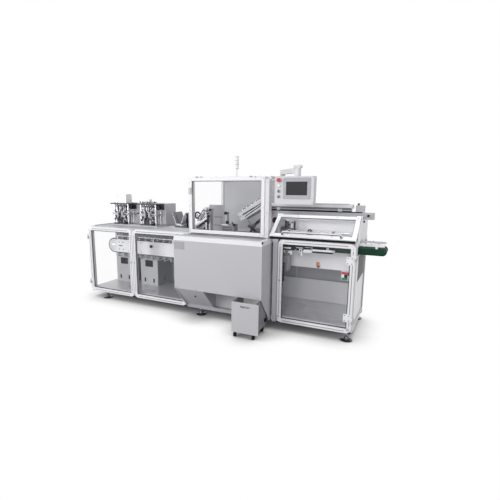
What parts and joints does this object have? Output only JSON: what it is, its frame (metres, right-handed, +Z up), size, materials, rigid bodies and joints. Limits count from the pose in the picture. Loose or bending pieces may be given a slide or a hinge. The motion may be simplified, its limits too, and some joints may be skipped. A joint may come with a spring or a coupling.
{
  "type": "automatic cartoner",
  "caption": "Horizontal cartoning machine with a bucket-chain infeed, guarded carton magazine, clear doors, swivelling operator panel, reject cart and belt outfeed.",
  "frame": {"origin": "middle of the bounding box, on the floor", "axes": "+X along the line from infeed to outfeed, +Y from the front doors to the rear, +Z up"},
  "size_m": [3.5839, 1.16, 1.825],
  "materials": {
    "white_profile": "satin white powder coat on profile",
    "pan_sheet": "smooth sheet with soft reflections",
    "foot_metal": "plated",
    "pale_sheet": "satin pale grey paint",
    "clear_sheet": "clear sheet",
    "grey_sheet": "satin grey paint",
    "white_plate": "satin white",
    "dark_steel": "dark satin",
    "bucket_steel": "brushed",
    "bright_steel": "ground bright",
    "board_sheet": "matt grey paint",
    "pale_plastic": "matt pale grey",
    "machine_grey": "satin grey",
    "green_belt": "dark green belt",
    "hinge_metal": "dark satin",
    "handle_metal": "brushed tube",
    "panel_paint": "satin light grey",
    "screen_bezel": "glossy screen in a grey bezel",
    "button_plastic": "moulded buttons",
    "black_rubber": "black tread and forks",
    "black_plastic": "moulded black"
  },
  "bodies": {
    "root": {"long_rails": "white_profile", "cross_rails": "white_profile", "posts": "white_profile", "floor_pan": "pan_sheet", "levelling_feet": "foot_metal", "rear_panels": "pale_sheet", "end_panes": "clear_sheet", "right_end_panel": "pale_sheet", "pedestals": "grey_sheet", "infeed_body": "white_plate", "infeed_chain": "dark_steel", "infeed_flights": "bucket_steel", "rear_cabinet": "pale_sheet", "feeder_columns": "bright_steel", "feeder_plates": "dark_steel", "feeder_units": "machine_grey", "leaflet_chute": "bucket_steel", "leaflet_unit": "bright_steel", "hood_panels": "grey_sheet", "hood_sides": "grey_sheet", "hood_frame": "white_profile", "recess_panels": "grey_sheet", "decks": "pan_sheet", "guard_posts": "white_profile", "guard_long_rails": "white_profile", "guard_side_rails": "white_profile", "back_board": "board_sheet", "tower_light": "pale_plastic", "incline_rails": "bright_steel", "carton_feeder": "machine_grey", "upper_panels": "pale_sheet", "magazine_beam": "machine_grey", "magazine_tray": "machine_grey", "inner_plate": "pale_sheet", "closing_station": "dark_steel", "outfeed_bed": "white_plate", "outfeed_belt": "green_belt", "outfeed_guides": "white_plate", "black_fittings": "black_plastic", "door_hinges": "hinge_metal", "panel_pivot": "machine_grey"},
    "left_door": {"left_door_frame": "white_profile", "left_door_pane": "clear_sheet"},
    "middle_door": {"middle_door_frame": "white_profile", "middle_door_pane": "clear_sheet"},
    "guard_door": {"guard_door_frame": "white_profile", "guard_door_pane": "clear_sheet"},
    "sloped_cover": {"cover_frame": "white_profile", "cover_pane": "clear_sheet", "cover_handle": "handle_metal"},
    "right_door": {"right_door_frame": "white_profile", "right_door_pane": "clear_sheet"},
    "operator_panel": {"panel_arm": "pale_plastic", "panel_box": "panel_paint", "panel_screen": "screen_bezel", "panel_buttons": "button_plastic"},
    "reject_cart": {"cart_body": "grey_sheet", "cart_castors": "black_rubber"},
    "handwheel": {"handwheel": "black_plastic"}
  },
  "joints": [
    {"name": "left_door_hinge", "type": "hinge", "parent": "root", "child": "left_door", "pos_m": [-1.785, -0.228, 0.5], "axis": [0, 0, -1], "range_deg": [0, 105]},
    {"name": "middle_door_hinge", "type": "hinge", "parent": "root", "child": "middle_door", "pos_m": [-0.275, -0.228, 0.5], "axis": [0, 0, 1], "range_deg": [0, 90]},
    {"name": "guard_door_hinge", "type": "hinge", "parent": "root", "child": "guard_door", "pos_m": [0.208, -0.228, 1.557], "axis": [-1, 0, 0], "range_deg": [0, 90]},
    {"name": "cover_hinge", "type": "hinge", "parent": "root", "child": "sloped_cover", "pos_m": [1.108, 0.06, 1.168], "axis": [-1, 0, 0], "range_deg": [0, 45]},
    {"name": "right_door_hinge", "type": "hinge", "parent": "root", "child": "right_door", "pos_m": [1.551, -0.228, 0.5], "axis": [0, 0, 1], "range_deg": [0, 105]},
    {"name": "panel_swivel", "type": "hinge", "parent": "root", "child": "operator_panel", "pos_m": [0.693, 0.23, 1.6], "axis": [0, 0, 1], "range_deg": [0, 45]},
    {"name": "cart_roll", "type": "slide", "parent": "root", "child": "reject_cart", "axis": [0, -1, 0], "range_m": [0, 0.6]},
    {"name": "handwheel_turn", "type": "hinge", "parent": "root", "child": "handwheel", "pos_m": [0.668, 0.095, 1.102], "axis": [0, 1, 0], "continuous": true}
  ]
}
